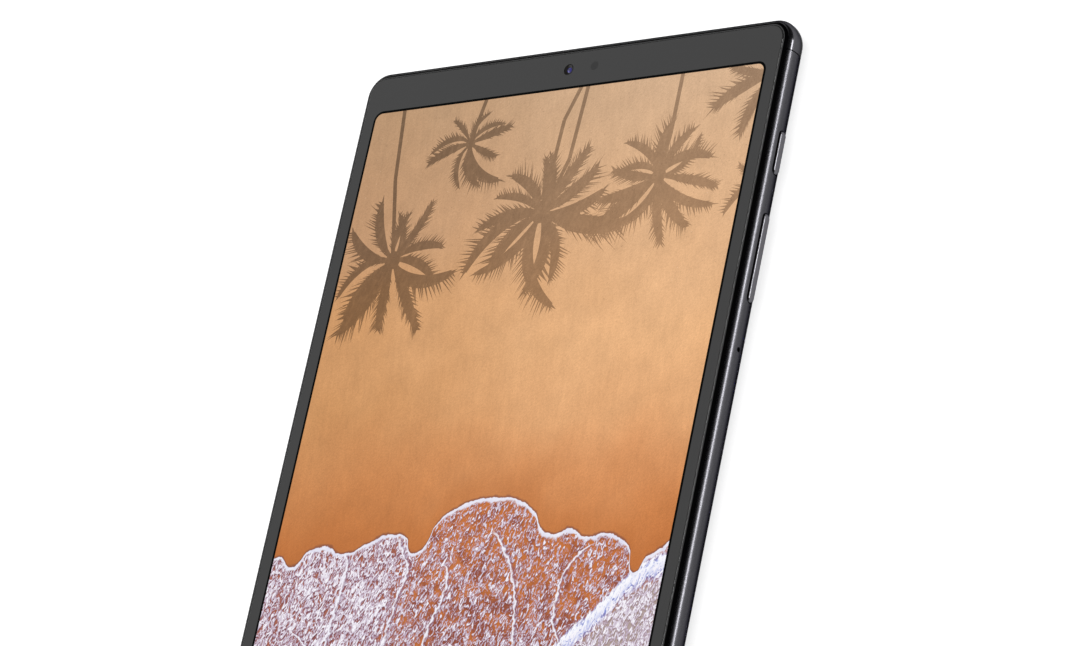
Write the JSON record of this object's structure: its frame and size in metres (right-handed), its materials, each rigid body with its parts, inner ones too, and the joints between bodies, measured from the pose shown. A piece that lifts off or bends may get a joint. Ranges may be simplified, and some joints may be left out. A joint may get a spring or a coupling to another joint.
{
  "type": "tablet computer",
  "caption": "Slim tablet computer with a glass front, a metal rear shell, side keys and a pull-out card tray.",
  "frame": {"origin": "centre of the flat back face", "axes": "+X to the right of the screen, +Y towards its top edge with the front camera, +Z out of the screen"},
  "size_m": [0.1251, 0.2126, 0.008],
  "materials": {
    "cover_glass": "chemically hardened glass with a printed dark border",
    "screen_picture": "lit display",
    "black_plastic": "moulded black plastic",
    "shell_metal": "anodised dark grey, satin",
    "cap_plastic": "painted dark grey to match the metal",
    "key_metal": "anodised dark grey, polished edges",
    "lens": "coated lens",
    "port_steel": "stamped steel",
    "sheet_metal": "stamped sheet",
    "board": "green solder mask",
    "polyimide": "amber ribbon",
    "battery_pouch": "dark wrapped pouch",
    "film": "white translucent film",
    "graphite": "graphite foil",
    "rubber": "soft black",
    "moulding": "moulded plastic"
  },
  "bodies": {
    "casing": {"antenna_cap": "cap_plastic", "backlight_tray": "sheet_metal", "battery": "battery_pouch", "battery_lead": "polyimide", "battery_tape_left": "rubber", "battery_tape_right": "rubber", "board_link_flex": "polyimide", "board_screw_1": "port_steel", "board_screw_2": "port_steel", "board_screw_3": "port_steel", "board_screw_4": "port_steel", "bottom_speaker": "moulding", "bottom_speaker_mesh": "port_steel", "cover_glass": "cover_glass", "display_flex": "polyimide", "display_panel": "screen_picture", "front_camera": "lens", "front_frame": "black_plastic", "glass_adhesive": "rubber", "graphite_sheet": "graphite", "headphone_jack": "moulding", "key_bracket": "sheet_metal", "led_strip": "board", "light_guide": "film", "light_sensor": "moulding", "main_board": "board", "microphone_gasket": "rubber", "mid_plate": "sheet_metal", "optical_films": "film", "plate_screw_1": "port_steel", "plate_screw_2": "port_steel", "plate_screw_3": "port_steel", "plate_screw_4": "port_steel", "plate_screw_5": "port_steel", "plate_screw_6": "port_steel", "plate_screw_7": "port_steel", "plate_screw_8": "port_steel", "power_switch": "port_steel", "processor_shield": "sheet_metal", "radio_shield": "sheet_metal", "rear_camera": "moulding", "rear_camera_ring": "key_metal", "rear_camera_window": "lens", "rear_cover": "shell_metal", "side_key_flex": "polyimide", "side_microphone": "port_steel", "sub_board": "board", "sub_board_screw_1": "port_steel", "sub_board_screw_2": "port_steel", "top_speaker": "moulding", "top_speaker_mesh": "port_steel", "tray_socket": "port_steel", "usb_c_receptacle": "port_steel", "volume_down_switch": "port_steel", "volume_up_switch": "port_steel", "wifi_antenna": "polyimide"},
    "power_key": {"power_key": "key_metal"},
    "volume_key": {"volume_key": "key_metal"},
    "card_tray": {"card_tray": "key_metal"}
  },
  "joints": [
    {"name": "power_key_press", "type": "slide", "parent": "casing", "child": "power_key", "axis": [-1, 0, 0], "range_m": [0, 0.00025], "stiffness_N_per_m": 800},
    {"name": "volume_key_rock", "type": "hinge", "parent": "casing", "child": "volume_key", "pos_m": [0.0603, 0.0492, 0.0042], "axis": [0, 0, 1], "range_deg": [-1.5, 1.5], "stiffness_Nm_per_rad": 0.05},
    {"name": "card_tray_slide", "type": "slide", "parent": "casing", "child": "card_tray", "axis": [-1, 0, 0], "range_m": [0, 0.018]}
  ]
}
